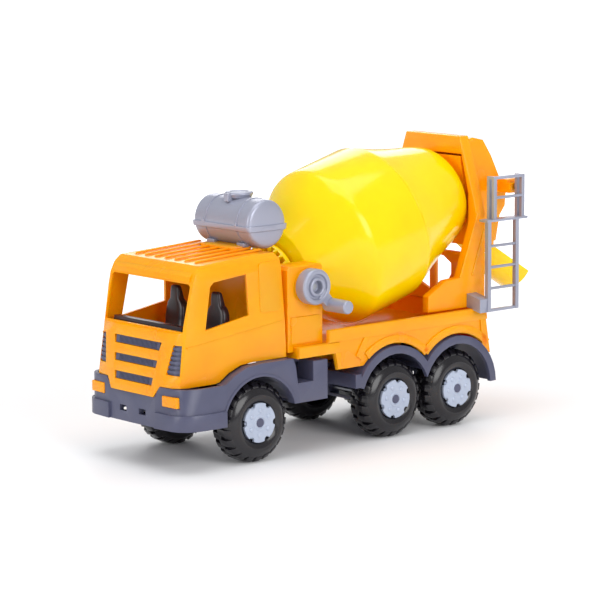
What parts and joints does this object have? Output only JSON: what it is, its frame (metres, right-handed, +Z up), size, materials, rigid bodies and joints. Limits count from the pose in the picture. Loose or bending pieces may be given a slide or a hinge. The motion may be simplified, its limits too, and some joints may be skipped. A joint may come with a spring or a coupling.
{
  "type": "toy cement mixer",
  "caption": "Toy cement mixer lorry with an open cab, rolling wheels, a tilted drum turned by a side crank, a hopper with a tilting chute, and a ladder.",
  "frame": {"origin": "bottom centre of the bounding box, on the ground", "axes": "+X to the front of the lorry, +Y to its left, the side with the crank and the ladder, +Z up"},
  "size_m": [0.4566, 0.164, 0.256],
  "materials": {
    "orange_plastic": "glossy moulded polypropylene",
    "yellow_plastic": "glossy moulded polypropylene",
    "slate_plastic": "satin moulded polypropylene",
    "silver_plastic": "satin plastic with a fine metallic flake",
    "disc_plastic": "satin plastic with a fine metallic flake",
    "black_plastic": "glossy moulded plastic",
    "seat_plastic": "glossy dark plastic",
    "steel": "drawn steel wire and rod"
  },
  "bodies": {
    "truck": {"chassis_frame": "slate_plastic", "front_bumper": "slate_plastic", "rear_fender_left": "slate_plastic", "rear_fender_right": "slate_plastic", "grille_insert": "slate_plastic", "axle_clip_front": "slate_plastic", "axle_clip_middle": "slate_plastic", "axle_clip_rear": "slate_plastic", "cab_shell": "orange_plastic", "mixer_body": "orange_plastic", "gear_housing": "orange_plastic", "rear_support": "orange_plastic", "hopper": "orange_plastic", "headlamp_left": "orange_plastic", "headlamp_right": "orange_plastic", "cab_interior": "seat_plastic", "seat_left": "seat_plastic", "seat_right": "seat_plastic", "tank_upper_shell": "silver_plastic", "tank_lower_shell": "silver_plastic", "tank_hatch": "silver_plastic", "ladder": "silver_plastic", "drum_spindle": "steel", "ladder_pin": "steel", "chassis_screw_1": "steel", "chassis_screw_2": "steel", "chassis_screw_3": "steel", "chassis_screw_4": "steel"},
    "front_wheels": {"axle_front": "steel", "tyre_front_left": "black_plastic", "tyre_front_right": "black_plastic", "hub_disc_front_left": "disc_plastic", "hub_disc_front_right": "disc_plastic", "hub_cap_front_left": "slate_plastic", "hub_cap_front_right": "slate_plastic"},
    "middle_wheels": {"axle_middle": "steel", "tyre_middle_left": "black_plastic", "tyre_middle_right": "black_plastic", "hub_disc_middle_left": "disc_plastic", "hub_disc_middle_right": "disc_plastic", "hub_cap_middle_left": "slate_plastic", "hub_cap_middle_right": "slate_plastic"},
    "rear_wheels": {"axle_rear": "steel", "tyre_rear_left": "black_plastic", "tyre_rear_right": "black_plastic", "hub_disc_rear_left": "disc_plastic", "hub_disc_rear_right": "disc_plastic", "hub_cap_rear_left": "slate_plastic", "hub_cap_rear_right": "slate_plastic"},
    "drum": {"drum_gear": "yellow_plastic", "drum_front_shell": "yellow_plastic", "drum_rear_shell": "yellow_plastic"},
    "crank": {"crank_pinion": "yellow_plastic", "crank_shaft": "steel", "crank_wheel": "silver_plastic", "crank_screw": "steel"},
    "chute_body": {"chute": "yellow_plastic", "chute_pin_left": "steel", "chute_pin_right": "steel"}
  },
  "joints": [
    {"name": "front_wheels_spin", "type": "hinge", "parent": "truck", "child": "front_wheels", "pos_m": [0.14254, -0.01, 0.0346], "axis": [0, 1, 0], "continuous": true},
    {"name": "middle_wheels_spin", "type": "hinge", "parent": "truck", "child": "middle_wheels", "pos_m": [-0.01246, -0.01, 0.0346], "axis": [0, 1, 0], "continuous": true},
    {"name": "rear_wheels_spin", "type": "hinge", "parent": "truck", "child": "rear_wheels", "pos_m": [-0.08766, -0.01, 0.0346], "axis": [0, 1, 0], "continuous": true},
    {"name": "drum_spin", "type": "hinge", "parent": "truck", "child": "drum", "pos_m": [0.08254, -0.01, 0.144], "axis": [-0.9608, 0, 0.2773], "continuous": true},
    {"name": "crank_spin", "type": "hinge", "parent": "truck", "child": "crank", "pos_m": [0.08254, -0.01, 0.144], "axis": [0, 1, 0], "continuous": true},
    {"name": "chute_tilt", "type": "hinge", "parent": "truck", "child": "chute_body", "pos_m": [-0.16846, -0.01, 0.155], "axis": [0, 1, 0], "range_deg": [-30, 45]}
  ],
  "couplings": [
    {"joint": "crank_spin", "follows": "drum_spin", "ratio": -3}
  ]
}
